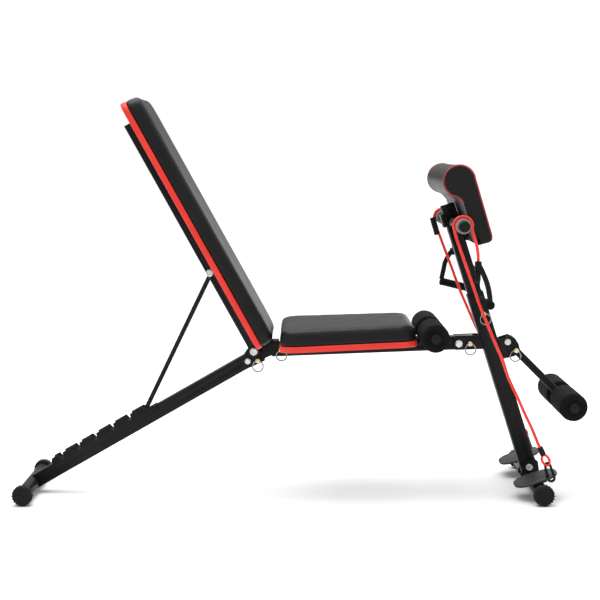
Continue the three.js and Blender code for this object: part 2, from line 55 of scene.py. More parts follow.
CAMERA_AT = (X_SHIFT, -3.828, 0.9345)
CAMERA_PITCH = 6.04
CAMERA_ROLL = -0.67
CAMERA_LENS = 83.7
DOME_LOW = 0.16
DOME_HIGH = 1.75
TOP_LIGHT = {"at": (-0.5, 0.3, 3.2), "aim": (0, 0, 0.4), "size": 2.2, "power": 70}
RIGHT_LIGHT = {"at": (1.6, 3.4, 1.3), "aim": (-0.4, 0, 0.7), "size": 1.6, "power": 15}
FLOOR_HALF, FLOOR_Z = 60, -0.0005

FOOT_Z = 0.02776
REAR_AXIS = (-0.751, FOOT_Z)
REAR_HALF = 0.174
FRONT_AXIS = (0.637, FOOT_Z)
FRONT_HALF = 0.240
CAP_LENGTH = 0.026
CAP_RIBS = 20
CAP_GROOVE = 0.0026
CAP_RIM_FROM = 0.0245  # the ribs start outside this radius
CAP_LIP = 0.0016

BACK_HALF = 0.140
BACK_LOW, BACK_HIGH = 0.005, 0.753
BACK_CUSHION = (0.0329, 0.0698)
STRUT_AT = 0.246
SEAT_ENDS = (-0.055, 0.313)
SEAT_HALVES = (0.185, 0.165)
SEAT_CUSHION = (0.0471, 0.0885)
BACK_CORNER, SEAT_CORNER = 0.032, 0.042
CUSHION_CROWN = 0.003
CUSHION_EDGE = 0.0150  # how far the soft top edge reaches in from the side
CLOTH_PRESSURE, CLOTH_STEPS, CLOTH_CAP = 4, 20, 0.003

ROLLER_R = 0.0375
ROLLER_BORE = 0.0131
ROLLER_EDGE = 0.0075
ROLLER_IN, ROLLER_OUT = 0.024, 0.178
THIGH_AT = (0.3596, 0.0535)
ARM_LENGTH = 0.220

PULLEY = (0.4198, 0.742)
SPOOL_Y, SPOOL_HALF, SPOOL_R = 0.256, 0.020, 0.0199
CORD_R, CORD_ARC_R, CORD_Y = 0.004, 0.0242, 0.258
PAD_HALF = 0.221
PIPING_R = 0.0023
PIPING_FROM = Vector((0.494, 0.6985))
PIPING_TO = Vector((0.4255, 0.796))
HOOK_Y = 0.180
HOOK_WIRE, GATE_R = 0.0035, 0.0047
HOOK_HEAD_R, HOOK_FOOT_R = 0.0066, 0.0086
HOOK_HEAD_AT, HOOK_FOOT_AT = 0.0190, -0.0170
LOOP_LONG, LOOP_WIDE, LOOP_R = 0.0150, 0.0092, 0.0036
LOOP_TILT = math.radians(-63)
STOPPER_R = 0.0088
WASHER = 0.0012
WASHER_IN, WASHER_OUT = 0.30, 0.55  # shares of a hexagon's size across its flats
STUD_R, STUD_ROOT = 0.0052, 0.0048
SHANK_R = 0.005
RING_R, RING_WIRE = 0.0146, 0.0019
STRAP_SECTION = (0.0138, 0.0068)
STRAP_SLEEVE_R = 0.0092
STRAP_SLEEVE_FOOT, STRAP_SLEEVE_STEP = 0.6300, 0.0008
GRIP_R = 0.0116
CRIMP_R = 0.008

CORD_RUN = [
    (0.4018, 0.2560, 0.7160), (0.4128, 0.2520, 0.6830), (0.4300, 0.2460, 0.6350),
    (0.4481, 0.2390, 0.5850), (0.4604, 0.2350, 0.5500), (0.4716, 0.2310, 0.5200),
    (0.4836, 0.2280, 0.4910), (0.5051, 0.2210, 0.4400), (0.5255, 0.2150, 0.3940),
    (0.5460, 0.2080, 0.3370), (0.5712, 0.2020, 0.2830), (0.5893, 0.1965, 0.2430),
    (0.6104, 0.1910, 0.1990), (0.6315, 0.1850, 0.1490), (0.6430, 0.1815, 0.1255),
]
HANDLE_RUN = {
    "near": [(0.4610, 0.2400, 0.6506), (0.4600, 0.2430, 0.6680), (0.4560, 0.2490, 0.6900),
             (0.4495, 0.2550, 0.7100)],
    "far": [(0.4520, 0.2720, 0.6506), (0.4530, 0.2690, 0.6680), (0.4525, 0.2640, 0.6900),
            (0.4490, 0.2600, 0.7100)],
}
STRAP = {
    "near": [(0.4890, 0.2620, 0.5450), (0.4870, 0.2620, 0.5660), (0.4800, 0.2570, 0.5980),
             (0.4610, 0.2400, 0.6410), (0.4630, 0.2220, 0.6050), (0.4690, 0.1620, 0.5850),
             (0.4695, 0.1530, 0.5480)],
    "far": [(0.4180, 0.2720, 0.5580), (0.4240, 0.2720, 0.5850), (0.4300, 0.2720, 0.6100),
            (0.4520, 0.2720, 0.6410), (0.4740, 0.2750, 0.6220), (0.5050, 0.2800, 0.5980),
            (0.5250, 0.2820, 0.5600), (0.5260, 0.2825, 0.5300)],
}
GRIP = {
    "near": [(0.4910, 0.2660, 0.5370), (0.4700, 0.1500, 0.5430)],
    "far": [(0.4140, 0.2720, 0.5525), (0.5270, 0.2830, 0.5225)],
}
CRIMP = [(0.6319, 0.1850, 0.1480), (0.6422, 0.1818, 0.1270)]
CORD_LOOP_AT = (0.6490, 0.1808, 0.1120)
FAR_SLEEVE = [(0.3905, 0.2560, 0.7405), (0.4046, 0.2560, 0.6904)]


def leaning(at, degrees):
    """The frame of a part drawn upright at X, Z and turned about Y."""
    turn = Matrix.Rotation(math.radians(degrees), 4, "Y")
    return Matrix.Translation((at[0] + X_SHIFT, 0, at[1])) @ turn


DRAWING = leaning((0, 0), 0)
BACK = leaning((-0.128, 0.395), -28.2)
SEAT = leaning((0, 0.377), -1.525)
POST = leaning((0.5254, 0.400), -17.17)
ARM = leaning((0.570, 0.409), 45.6)
HOOK = leaning((0.6596, 0.0795), -16.3)

# ---- materials -----------------------------------------------------------------------------


class Nodes:
    """A small helper around one material's node tree."""

    def __init__(self, name):
        self.material = bpy.data.materials.new(name)
        self.material.use_nodes = True
        self.tree = self.material.node_tree
        self.shader = self.tree.nodes["Principled BSDF"]
        self.place = self.add("TexCoord").outputs["Object"]

    def add(self, kind, **values):
        made = self.tree.nodes.new("ShaderNode" + kind)
        for key, value in values.items():
            setattr(made, key, value)
        return made

    def link(self, source, target):
        self.tree.links.new(source, target)

    def stretched(self, scale):
        mapping = self.add("Mapping")
        mapping.inputs["Scale"].default_value = scale
        self.link(self.place, mapping.inputs["Vector"])
        return mapping.outputs["Vector"]

    def noise(self, scale, detail=4.0, place=None):
        made = self.add("TexNoise")
        made.inputs["Scale"].default_value = scale
        made.inputs["Detail"].default_value = detail
        self.link(place or self.place, made.inputs["Vector"])
        return made.outputs["Fac"]

    def cells(self, scale):
        made = self.add("TexVoronoi", feature="DISTANCE_TO_EDGE")
        made.inputs["Scale"].default_value = scale
        self.link(self.place, made.inputs["Vector"])
        return made.outputs["Distance"]

    def bands(self, scale, direction):
        made = self.add("TexWave", bands_direction=direction)
        made.inputs["Scale"].default_value = scale
        made.inputs["Distortion"].default_value = 0.6
        self.link(self.place, made.inputs["Vector"])
        return made.outputs["Fac"]

    def ramp(self, source, low, high, start=0.35, end=0.65):
        made = self.add("ValToRGB")
        first, last = made.color_ramp.elements
        first.position, last.position = start, end
        first.color, last.color = (*low, 1), (*high, 1)
        self.link(source, made.inputs["Fac"])
        return made.outputs["Color"]

    def spread(self, source, low, high):
        made = self.add("MapRange")
        made.inputs["From Min"].default_value = 0.3
        made.inputs["From Max"].default_value = 0.7
        made.inputs["To Min"].default_value = low
        made.inputs["To Max"].default_value = high
        self.link(source, made.inputs["Value"])
        return made.outputs["Result"]

    def bump(self, source, depth, strength=1.0, under=None):
        made = self.add("Bump")
        made.inputs["Distance"].default_value = depth
        made.inputs["Strength"].default_value = strength
        self.link(source, made.inputs["Height"])
        if under:
            self.link(under, made.inputs["Normal"])
        return made.outputs["Normal"]


def surface(name, dark, light, roughness, relief, blotch=9.0, **shader):
    """A material with soft colour drift, uneven roughness and the relief that a maker gives."""
    nodes = Nodes(name)
    drift = nodes.noise(blotch, 6.0)
    nodes.link(nodes.ramp(drift, dark, light), nodes.shader.inputs["Base Color"])
    smudge = nodes.noise(blotch * 5, 5.0)
    nodes.link(nodes.spread(smudge, *roughness), nodes.shader.inputs["Roughness"])
    nodes.link(relief(nodes), nodes.shader.inputs["Normal"])
    for socket, value in shader.items():
        nodes.shader.inputs[socket.replace("_", " ")].default_value = value
    return nodes.material


def orange_peel(nodes):
    return nodes.bump(nodes.noise(900, 3.0), 0.00006)


def leather_grain(nodes):
    creases = nodes.bump(nodes.noise(14, 2.0), 0.0010, 0.15)
    return nodes.bump(nodes.cells(620), 0.00010, 0.6, creases)


def open_foam(nodes):
    dents = nodes.bump(nodes.noise(60, 2.0), 0.0010, 0.5)
    return nodes.bump(nodes.cells(900), 0.00035, 0.9, dents)


def moulded(nodes):
    return nodes.bump(nodes.noise(1400, 2.0), 0.00005)


def plating(nodes):
    return nodes.bump(nodes.noise(700, 4.0, nodes.stretched((1, 8, 1))), 0.00003)


def drawn_rubber(nodes):
    return nodes.bump(nodes.noise(500, 3.0, nodes.stretched((1, 1, 0.15))), 0.00008)


def weave(nodes):
    warp = nodes.bump(nodes.bands(260, "X"), 0.0003, 0.7)
    return nodes.bump(nodes.bands(260, "Z"), 0.0003, 0.7, warp)


def grey(value, warm=0.0):
    return (value * (1 + warm), value, value * (1 - warm))


POWDER = surface("powder_coat", grey(0.0045), grey(0.0065), (0.34, 0.46), orange_peel,
                 Specular_IOR_Level=0.16)
PLATE = surface("plate_coat", grey(0.019), grey(0.027), (0.42, 0.58), orange_peel,
                Specular_IOR_Level=0.25)
LEATHER = surface("leatherette", grey(0.0065), grey(0.0090), (0.38, 0.46), leather_grain, 5,
                  Specular_IOR_Level=0.17)
RED = surface("red_vinyl", (0.66, 0.026, 0.016), (0.76, 0.036, 0.022), (0.38, 0.50),
              leather_grain, Specular_IOR_Level=0.35)
PIPING = surface("piping_vinyl", (0.26, 0.020, 0.030), (0.34, 0.028, 0.040), (0.40, 0.55),
                 leather_grain, Specular_IOR_Level=0.35)
FOAM = surface("foam", grey(0.0048), grey(0.0070), (0.80, 0.95), open_foam, 30,
               Specular_IOR_Level=0.10)
PLASTIC = surface("black_plastic", grey(0.0050), grey(0.0080), (0.48, 0.64), moulded, 30,
                  Specular_IOR_Level=0.15)
RUBBER = surface("grey_rubber", (0.17, 0.145, 0.125), (0.24, 0.21, 0.18), (0.6, 0.8), moulded, 40)
LATEX = surface("cord_rubber", (0.70, 0.020, 0.014), (0.84, 0.034, 0.022), (0.36, 0.50),
                drawn_rubber, 30, Specular_IOR_Level=0.4)
ZINC = surface("zinc", grey(0.55), grey(0.72), (0.24, 0.40), plating, 60, Metallic=0.9)
NICKEL = surface("nickel", grey(0.22, 0.02), grey(0.32, 0.02), (0.16, 0.30), plating, 60,
                 Metallic=0.95)
BRASS = surface("brass", (0.62, 0.50, 0.30), (0.78, 0.66, 0.44), (0.24, 0.40), plating, 60,
                Metallic=0.85)
WEBBING = surface("webbing", grey(0.0070), grey(0.0120), (0.7, 0.9), weave, 60,
                  Specular_IOR_Level=0.15)

LINING = surface("board_lining", grey(0.0090), grey(0.0150), (0.8, 0.95), weave, 20,
                 Specular_IOR_Level=0.2)

# ---- meshes --------------------------------------------------------------------------------


def mesh_piece(name, verts, faces, material, matrix=None, sharp=None):
    mesh = bpy.data.meshes.new(name)
    mesh.from_pydata([tuple(v) for v in verts], [], [tuple(f) for f in faces])
    if matrix is not None:
        mesh.transform(matrix)
    made = bmesh.new()
    made.from_mesh(mesh)
    bmesh.ops.recalc_face_normals(made, faces=made.faces)
    made.to_mesh(mesh)
    made.free()
    mesh.materials.append(material)
    mesh.polygons.foreach_set("use_smooth", [True] * len(mesh.polygons))
    if sharp:
        mesh.set_sharp_from_angle(angle=math.radians(sharp))
    piece = bpy.data.objects.new(name, mesh)
    bpy.context.scene.collection.objects.link(piece)
    return piece


def lofted(name, loops, material, matrix=None, ring=False, sharp=None):
    """Skins a list of closed loops with equal point counts; a ring's last loop meets its first."""
    count, rows = len(loops[0]), len(loops)
    faces = []
    for row in range(rows if ring else rows - 1):
        low, high = row * count, (row + 1) % rows * count
        for i in range(count):
            j = (i + 1) % count
            faces.append((low + i, low + j, high + j, high + i))
    if not ring:
        faces.append(range(count - 1, -1, -1))
        faces.append(range((rows - 1) * count, rows * count))
    return mesh_piece(name, [p for loop in loops for p in loop], faces, material, matrix, sharp)


def joined(name, pieces):
    """Makes one piece of several that share a body."""
    bpy.ops.object.select_all(action="DESELECT")
    for piece in pieces:
        piece.select_set(True)
    bpy.context.view_layer.objects.active = pieces[0]
    bpy.ops.object.join()
    pieces[0].name = name
    return pieces[0]


def circle(radius, count=16):
    turns = [2 * math.pi * i / count for i in range(count)]
    return [(radius * math.cos(t), radius * math.sin(t)) for t in turns]


def flat_section(width, thickness):
    """A ribbon's section, with its edges rounded off."""
    w, t = width / 2, thickness / 2
    return [(w - t, -t), (w - t * 0.3, -t * 0.7), (w, 0), (w - t * 0.3, t * 0.7), (w - t, t),
            (0, t * 1.05), (t - w, t), (t * 0.3 - w, t * 0.7), (-w, 0), (t * 0.3 - w, -t * 0.7),
            (t - w, -t), (0, -t * 1.05)]


def curve_through(points, step=0.004):
    """A centripetal Catmull-Rom curve through the points, sampled about every step."""
    points = [Vector(p) for p in points]
    ends = [2 * points[0] - points[1], *points, 2 * points[-1] - points[-2]]
    made = []
    for a, b, c, d in zip(ends, ends[1:], ends[2:], ends[3:]):
        t1 = (b - a).length ** 0.5
        t2 = t1 + (c - b).length ** 0.5
        t3 = t2 + (d - c).length ** 0.5
        count = max(2, round((c - b).length / step))
        for i in range(count):
            t = t1 + (t2 - t1) * i / count
            ab = a.lerp(b, t / t1)
            bc = b.lerp(c, (t - t1) / (t2 - t1))
            cd = c.lerp(d, (t - t2) / (t3 - t2))
            made.append(ab.lerp(bc, t / t2).lerp(bc.lerp(cd, (t - t1) / (t3 - t1)),
                                                 (t - t1) / (t2 - t1)))
    return [*made, points[-1]]


def swept(name, path, section, material, across=None, ring=False, scales=None, matrix=None,
          sharp=None):
    """Carries a section along a path. across fixes the direction of its first axis."""
    path = [Vector(p) for p in path]
    count = len(path)
    guide = Vector(across) if across else None
    loops = []
    for i, at in enumerate(path):
        ahead = path[(i + 1) % count] if ring else path[min(i + 1, count - 1)]
        behind = path[i - 1] if ring else path[max(i - 1, 0)]
        along = (ahead - behind).normalized()
        if guide is None:
            guide = along.orthogonal()
        first = (guide - along * guide.dot(along)).normalized()
        if not across:
            guide = first
        second = along.cross(first)
        size = scales[i] if scales else 1
        loops.append([at + size * (u * first + v * second) for u, v in section])
    return lofted(name, loops, material, matrix, ring, sharp)


def turned(name, at, profile, material, matrix=DRAWING, segments=48, ring=False, sharp=35,
           shape=None):
    """Turns a list of radius and Y about the Y axis at X, Z. shape makes a radius uneven."""
    loops = []
    for r, y in profile:
        loop = []
        for i in range(segments):
            angle = 2 * math.pi * i / segments
            radius = shape(r, y, angle) if shape else r
            loop.append((at[0] + radius * math.cos(angle), y, at[1] + radius * math.sin(angle)))
        loops.append(loop)
    return lofted(name, loops, material, matrix, ring, sharp)


def sided(profile, sign):
    return [(r, sign * y) for r, y in profile]


def mirrored(points, sign):
    return [(x + X_SHIFT, sign * y, z) for x, y, z in points]


def resampled(points, count):
    """Even points round a closed outline."""
    loop = [Vector(p) for p in [*points, points[0]]]
    runs = [0.0]
    for a, b in zip(loop, loop[1:]):
        runs.append(runs[-1] + (b - a).length)
    made, at = [], 0
    for i in range(count):
        goal = runs[-1] * i / count
        while runs[at + 1] < goal:
            at += 1
        share = (goal - runs[at]) / max(runs[at + 1] - runs[at], 1e-9)
        made.append(loop[at].lerp(loop[at + 1], share))
    return made


def inset(outline, depth):
    """Moves a closed anticlockwise outline inwards along its own normals."""
    count = len(outline)
    made = []
    for i, p in enumerate(outline):
        along = (outline[(i + 1) % count] - outline[i - 1]).normalized()
        made.append(p + depth * Vector((-along.y, along.x)))
    return made


def arc(centre, radius, start, end, count=12):
    angles = [start + (end - start) * i / count for i in range(count + 1)]
    return [(centre[0] + radius * math.cos(a), centre[1] + radius * math.sin(a)) for a in angles]


# ---- cushions ------------------------------------------------------------------------------


def plan(x0, x1, half0, half1, corner):
    """A cushion's plan: half0 and half1 are its half widths at its two ends."""
    quarter = math.pi / 2
    points = [
        *arc((x1 - corner, corner - half1), corner, -quarter, 0),
        *arc((x1 - corner, half1 - corner), corner, 0, quarter),
        *arc((x0 + corner, half0 - corner), corner, quarter, 2 * quarter),
        *arc((x0 + corner, corner - half0), corner, 2 * quarter, 3 * quarter),
    ]
    return resampled(points, 200)


def cushion_form(outline, low, high, crown):
    """A crowned pad: a tucked lower seam, a full side, a soft top edge and a domed top."""
    tall = high - low
    edge = [(0.0022, 0), (0.0008, 0.05), (0.0002, 0.16), (0, 0.34), (0.0002, 0.52),
            (0.0010, 0.70), (0.0034, 0.85), (0.0080, 0.95), (CUSHION_EDGE, 0.99)]
    loops = [[(p.x, p.y, low + share * tall) for p in inset(outline, depth)]
             for depth, share in edge]
    last = inset(outline, CUSHION_EDGE)
    middle = sum(last, Vector((0, 0))) / len(last)
    rings = 14
    for ring in range(1, rings):
        size = 1 - ring / rings
        rise = high + crown * (1 - size ** 2) - 0.01 * tall * size ** 6
        loops.append([(*(middle + (p - middle) * size), rise) for p in last])
    base = [(*(middle + (Vector(p[:2]) - middle) * 0.6), low) for p in loops[0]]
    return [base, *loops]


def plumped(piece, low_share, cap, voxel=0.005):
    """Swells a closed pad with cloth pressure, up to cap, and leaves its resting face flat."""
    scene = bpy.context.scene
    bpy.context.view_layer.objects.active = piece
    remesh = piece.modifiers.new("even", "REMESH")
    remesh.mode = "VOXEL"
    remesh.voxel_size = voxel
    remesh.use_smooth_shade = True
    bpy.ops.object.modifier_apply(modifier=remesh.name)
    count = len(piece.data.vertices)
    rest = np.zeros(count * 3)
    piece.data.vertices.foreach_get("co", rest)
    rest = rest.reshape(-1, 3)
    cloth = piece.modifiers.new("skin", "CLOTH")
    cloth.settings.use_pressure = True
    cloth.settings.uniform_pressure_force = CLOTH_PRESSURE
    cloth.settings.quality = 4
    cloth.settings.effector_weights.gravity = 0
    for step in range(1, CLOTH_STEPS + 1):
        scene.frame_set(step)
    swollen = piece.evaluated_get(bpy.context.evaluated_depsgraph_get())
    moved = np.zeros(count * 3)
    swollen.data.vertices.foreach_get("co", moved)
    move = moved.reshape(-1, 3) - rest
    piece.modifiers.remove(cloth)
    scene.frame_set(1)
    length = np.linalg.norm(move, axis=1, keepdims=True)
    move *= np.minimum(1, cap / np.maximum(length, 1e-9))
    height = rest[:, 2] - rest[:, 2].min()
    free = np.clip(height / (low_share * np.ptp(rest[:, 2])), 0, 1)[:, None]
    piece.data.vertices.foreach_set("co", (rest + move * free).ravel())
    piece.data.update()
    smooth = piece.modifiers.new("ease", "SMOOTH")
    smooth.iterations = 2
    return piece


def cushion(name, node, body, outline, low, high, crown, stand, fill):
    """Makes a cushion in its own flat frame, then stands it in place."""
    made = lofted(name, cushion_form(outline, low, high, crown), LEATHER)
    plumped(made, 0.5, CLOTH_CAP)
    made.data.transform(stand)
    made.data.update()
    finer = made.modifiers.new("finer", "SUBSURF")
    finer.levels = finer.render_levels = 1
    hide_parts(node)
    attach(made, body)
    return made


def cushions():
    upright = Matrix(((0, 0, 1, 0), (0, 1, 0, 0), (1, 0, 0, 0), (0, 0, 0, 1)))
    back = plan(BACK_LOW, BACK_HIGH, BACK_HALF, BACK_HALF, BACK_CORNER)
    cushion("backrest_pad", "backrest_cushion", "backrest", back, *BACK_CUSHION, CUSHION_CROWN,
            BACK @ upright, 0.8)
    seat = plan(*SEAT_ENDS, *SEAT_HALVES, SEAT_CORNER)
    cushion("seat_pad", "seat_cushion", "bench_frame", seat, *SEAT_CUSHION, CUSHION_CROWN, SEAT,
            0.8)


# ---- preacher pad --------------------------------------------------------------------------


def pad_outline():
    """The pad's side: a flat face, a rounded foot and a rolled head."""
    quads = []
    for start, control, end in (((0.492, 0.6965), (0.502, 0.700), (0.498, 0.719)),
                                ((0.3976, 0.8177), (0.419, 0.813), (0.4255, 0.796))):
        a, b, c = Vector(start), Vector(control), Vector(end)
        quads.append([a.lerp(b, t / 10).lerp(b.lerp(c, t / 10), t / 10) for t in range(11)])
    head = arc((0.415, 0.856), 0.042, 0.14, 4.28, 60)
    return resampled([(0.463, 0.689), *quads[0], *head, *quads[1]], 220)


def preacher_pad():
    outline = pad_outline()
    loops = []
    for depth, y in ((0.0085, 1.0), (0.0035, 0.999), (0.0010, 0.992), (0, 0.975), (0, 0.9),
                     (0.0006, 0.7), (0.0008, 0.35), (0.0008, 0)):
        loops.append((depth, PAD_HALF * y))
    stations = loops + [(depth, -y) for depth, y in reversed(loops[:-1])]
    rows = [[(p.x, y, p.y) for p in inset(outline, depth)] for depth, y in stations]
    body = lofted("preacher_pad_cover", rows, LEATHER, DRAWING, sharp=50)
    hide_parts("preacher_pad")
    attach(body, "upper_post")
    for side, sign in SIDES:
        seam = inset(outline, 0.001)
        start = min(range(len(seam)), key=lambda i: (seam[i] - PIPING_FROM).length)
        end = min(range(len(seam)), key=lambda i: (seam[i] - PIPING_TO).length)
        route = [(p.x + X_SHIFT, sign * (PAD_HALF - 0.0012), p.y) for p in seam[start:end + 1]]
        sizes = [min(1, 0.25 + 0.25 * min(i, len(route) - 1 - i)) for i in range(len(route))]
        edge = swept(f"pad_piping_{side}", route, circle(PIPING_R, 10), PIPING, (0, 1, 0),
                     scales=sizes)
        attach(edge, "upper_post")


# ---- rollers, caps and bolts ---------------------------------------------------------------


def roller_skin(radius, y, angle):
    """Foam is never quite round."""
    dent = noise.noise(Vector((math.cos(angle), 30 * y, math.sin(angle))) * 1.7)
    return radius + (0.0005 * dent if radius > 0.02 else 0)


def rollers():
    long = ROLLER_OUT - ROLLER_IN
    edge = [(ROLLER_R - ROLLER_EDGE + ROLLER_EDGE * math.sin(a),
             ROLLER_EDGE - ROLLER_EDGE * math.cos(a)) for a in (0.4, 0.8, 1.2, 1.57)]
    profile = [(ROLLER_BORE, ROLLER_IN), (0.0300, ROLLER_IN)]
    profile += [(r, ROLLER_IN + along) for r, along in edge]
    profile += [(ROLLER_R, ROLLER_IN + long * share) for share in (0.2, 0.35, 0.5, 0.65, 0.8)]
    profile += [(r, ROLLER_OUT - along) for r, along in reversed(edge)]
    profile += [(0.0300, ROLLER_OUT), (0.0210, ROLLER_OUT - 0.0004), (0.0195, ROLLER_OUT - 0.0018),
                (0.0180, ROLLER_OUT - 0.0004), (ROLLER_BORE, ROLLER_OUT)]
    for place, at, matrix in (("thigh", THIGH_AT, SEAT), ("leg", (ARM_LENGTH, 0), ARM)):
        for side, sign in SIDES:
            made = turned(f"{place}_foam_{side}", at, sided(profile, sign), FOAM, matrix, 72, True,
                          None, roller_skin)
            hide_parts(f"{place}_roller_{side}")
            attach(made, f"{place}_roller_{side}_spin")


def cap_rib(radius, y, angle):
    """Square ribs run along the cap's rim, with a flat resting rib at the bottom."""
    if radius < CAP_RIM_FROM:
        return radius
    wave = math.cos(CAP_RIBS * (angle + math.pi / 2))
    return radius - CAP_GROOVE * min(1, max(0, 0.5 - 1.6 * wave))


def foot_caps():
    for place, at, half, body in (("rear", REAR_AXIS, REAR_HALF, "rear_leg"),
                                  ("front", FRONT_AXIS, FRONT_HALF, "front_post")):
        for side, sign in SIDES:
            inner = half - CAP_LENGTH
            profile = [(0.0195, inner), (0.0235, inner), (0.0262, inner + 0.0005),
                       (FOOT_Z, inner + 0.0025), (FOOT_Z, half - 0.0040),
                       (0.0268, half - 0.0015),
                       (0.0240, half - 0.0006), (0.0225, half), (0.0215, half - 0.0004),
                       (0.0208, half - CAP_LIP), (0.0110, half - CAP_LIP), (0.0004, half - 0.0012)]
            made = turned(f"{place}_cap_{side}", at, sided(profile, sign), PLASTIC,
                          segments=CAP_RIBS * 12, sharp=40, shape=cap_rib)
            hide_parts(f"{place}_foot_cap_{side}")
            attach(made, body)


def hex_loop(at, y, radius, roundness, turn):
    """A hexagon that goes over to a circle as roundness goes to 1."""
    loop = []
    for i in range(48):
        angle = 2 * math.pi * i / 48
        part = (angle % (math.pi / 3)) - math.pi / 6
        flat = radius * math.cos(math.pi / 6) / math.cos(part)
        r = flat * (1 - roundness) + radius * 0.86 * roundness
        loop.append((at[0] + r * math.cos(angle + turn), y, at[1] + r * math.sin(angle + turn)))
    return loop


def hex_fastener(name, at, start, sign, across, height, turn, tip):
    """A head or a nut with its washer; tip is how far the thread stands out of a nut."""
    radius = across / math.sqrt(3)
    base = start + sign * WASHER
    rim = [(across * WASHER_IN, start), (across * WASHER_OUT, start),
           (across * WASHER_OUT, base), (across * WASHER_IN, base)]
    washer = turned(f"{name}_washer", at, rim, ZINC, Matrix.Identity(4), ring=True)
    loops = [hex_loop(at, base + sign * height * share, radius * size, roundness, turn)
             for share, size, roundness in ((0, 0.97, 0.2), (0.10, 1, 0), (0.78, 1, 0),
                                            (0.93, 0.985, 0.55), (1, 0.93, 1))]
    top = base + sign * height
    if tip:
        stud = [(STUD_R, top - sign * 0.001), (STUD_R, top), (STUD_ROOT, top),
                (STUD_ROOT, top + sign * (tip - 0.001)), (0.0038, top + sign * tip)]
        ends = [turned(f"{name}_stud", at, stud, ZINC, Matrix.Identity(4))]
    else:
        loops += [hex_loop(at, top, radius * 0.70, 1, turn),
                  hex_loop(at, top - sign * 0.0006, radius * 0.62, 1, turn)]
        ends = []
    head = lofted(f"{name}_hex", loops, ZINC, sharp=30)
    return [head, washer, *ends]


def bolts():
    """Each bolt: its node, body, place, half grip, size across flats, head height and turn."""
    back_bolt = BACK @ Vector((0, 0, STRUT_AT))
    rows = (
        ("rear_leg_bolt", "bench_frame", (-0.1458, 0.3644), 0.0238, 0.015, 0.005, 0.2),
        ("backrest_pivot_bolt", "backrest", (-0.128, 0.395), 0.0523, 0.019, 0.007, 0.5),
        ("strut_bolt", "backrest", (back_bolt.x - X_SHIFT, back_bolt.z), 0.0523, 0.019, 0.006, 0.9),
        ("fold_bolt", "front_post", (0.436, 0.406), 0.0238, 0.018, 0.006, 0.3),
        ("leg_pivot_bolt", "front_post", (0.570, 0.409), 0.0238, 0.016, 0.005, 0.7),
        ("base_bolt", "front_post", (0.6305, 0.0585), 0.0271, 0.017, 0.006, 0.1),
    )
    for node, body, (x, z), half, across, height, turn in rows:
        at = (x + X_SHIFT, z)
        shank = turned(f"{node}_shank", at, [(SHANK_R, -half), (SHANK_R, half)], ZINC,
                       Matrix.Identity(4), 24)
        parts = [shank, *hex_fastener(f"{node}_head", at, -half, -1, across, height, turn, 0),
                 *hex_fastener(f"{node}_nut", at, half, 1, across, height, turn + 0.4, 0.003)]
        made = joined(f"{node}_set", parts)
        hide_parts(node)
        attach(made, body)


def pull_pin(name, body, matrix, at, ring_at, face, tip):
    """A spring plunger: a turned knob on a stem, with a ring through it."""
    seat = face - 0.0053
    profile = [(0.0038, tip), (0.0040, tip - 0.0004), (0.0040, seat), (0.0062, seat),
               (0.0066, seat - 0.0006), (0.0066, seat - 0.0030), (0.0045, seat - 0.0034),
               (0.0045, seat - 0.0046), (0.0060, seat - 0.0050), (0.0063, seat - 0.0060),
               (0.0063, seat - 0.0078), (0.0052, seat - 0.0088), (0.0020, seat - 0.0090)]
    knob = turned(f"{name}_knob", at, profile, BRASS, matrix, 32)
    turns = [2 * math.pi * i / 72 for i in range(72)]
    route = [(ring_at[0] + RING_R * math.cos(t), seat - 0.005, ring_at[1] + RING_R * math.sin(t))
             for t in turns]
    ring = swept(f"{name}_ring", route, circle(RING_WIRE, 12), NICKEL, (0, 1, 0), True,
                 matrix=matrix)
    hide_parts(name)
    for piece in (knob, ring):
        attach(piece, body)


def pull_pins():
    """Each pin: its name, frame, place, ring's middle, outer face and tip."""
    rows = (
        ("rear_leg", DRAWING, (-0.118, 0.366), (-0.118, 0.3508), -0.0235, -0.0195),
        ("seat_beam", SEAT, (-0.0535, 0.0194), (-0.0525, 0.0042), -0.019, -0.011),
        ("fold", DRAWING, (0.466, 0.406), (0.4665, 0.3908), -0.0235, -0.0195),
        ("leg", DRAWING, (0.593, 0.386), (0.590, 0.3711), -0.0235, -0.0195),
        ("post", POST, (0.004, 0.091), (0.005, 0.0755), -0.0225, -0.0196),
    )
    for name, matrix, at, ring_at, face, tip in rows:
        pull_pin(f"{name}_pull_pin", f"{name}_lock", matrix, at, ring_at, face, tip)


# ---- cords, hooks and handles --------------------------------------------------------------


def cord_paths(side, sign):
    """The lead from the pulley's top to the handle, and the run from there to the crimp."""
    over = [(PULLEY[0] + CORD_ARC_R * math.cos(math.radians(d)), CORD_Y,
             PULLEY[1] + CORD_ARC_R * math.sin(math.radians(d))) for d in range(-18, 203, 20)]
    middle = len(over) // 2
    first = [*HANDLE_RUN[side], *over, *CORD_RUN]
    whole = curve_through(mirrored(first, sign), 0.0035)
    top = Vector(mirrored([over[middle]], sign)[0])
    split = min(range(len(whole)), key=lambda i: (whole[i] - top).length)
    return whole[split::-1], whole[split:]


def crimp_piece(side, sign):
    start, end = [Vector(p) for p in mirrored(CRIMP, sign)]
    path = [start.lerp(end, i / 12) for i in range(13)]
    scales = [0.86, 0.98, 1, 0.97, 1, 0.97, 1, 0.97, 1, 0.97, 1, 0.98, 0.86]
    made = swept(f"crimp_{side}", path, circle(CRIMP_R, 20), PLASTIC, scales=scales, sharp=50)
    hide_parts(f"cord_crimp_{side}")
    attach(made, "front_post")
    return made


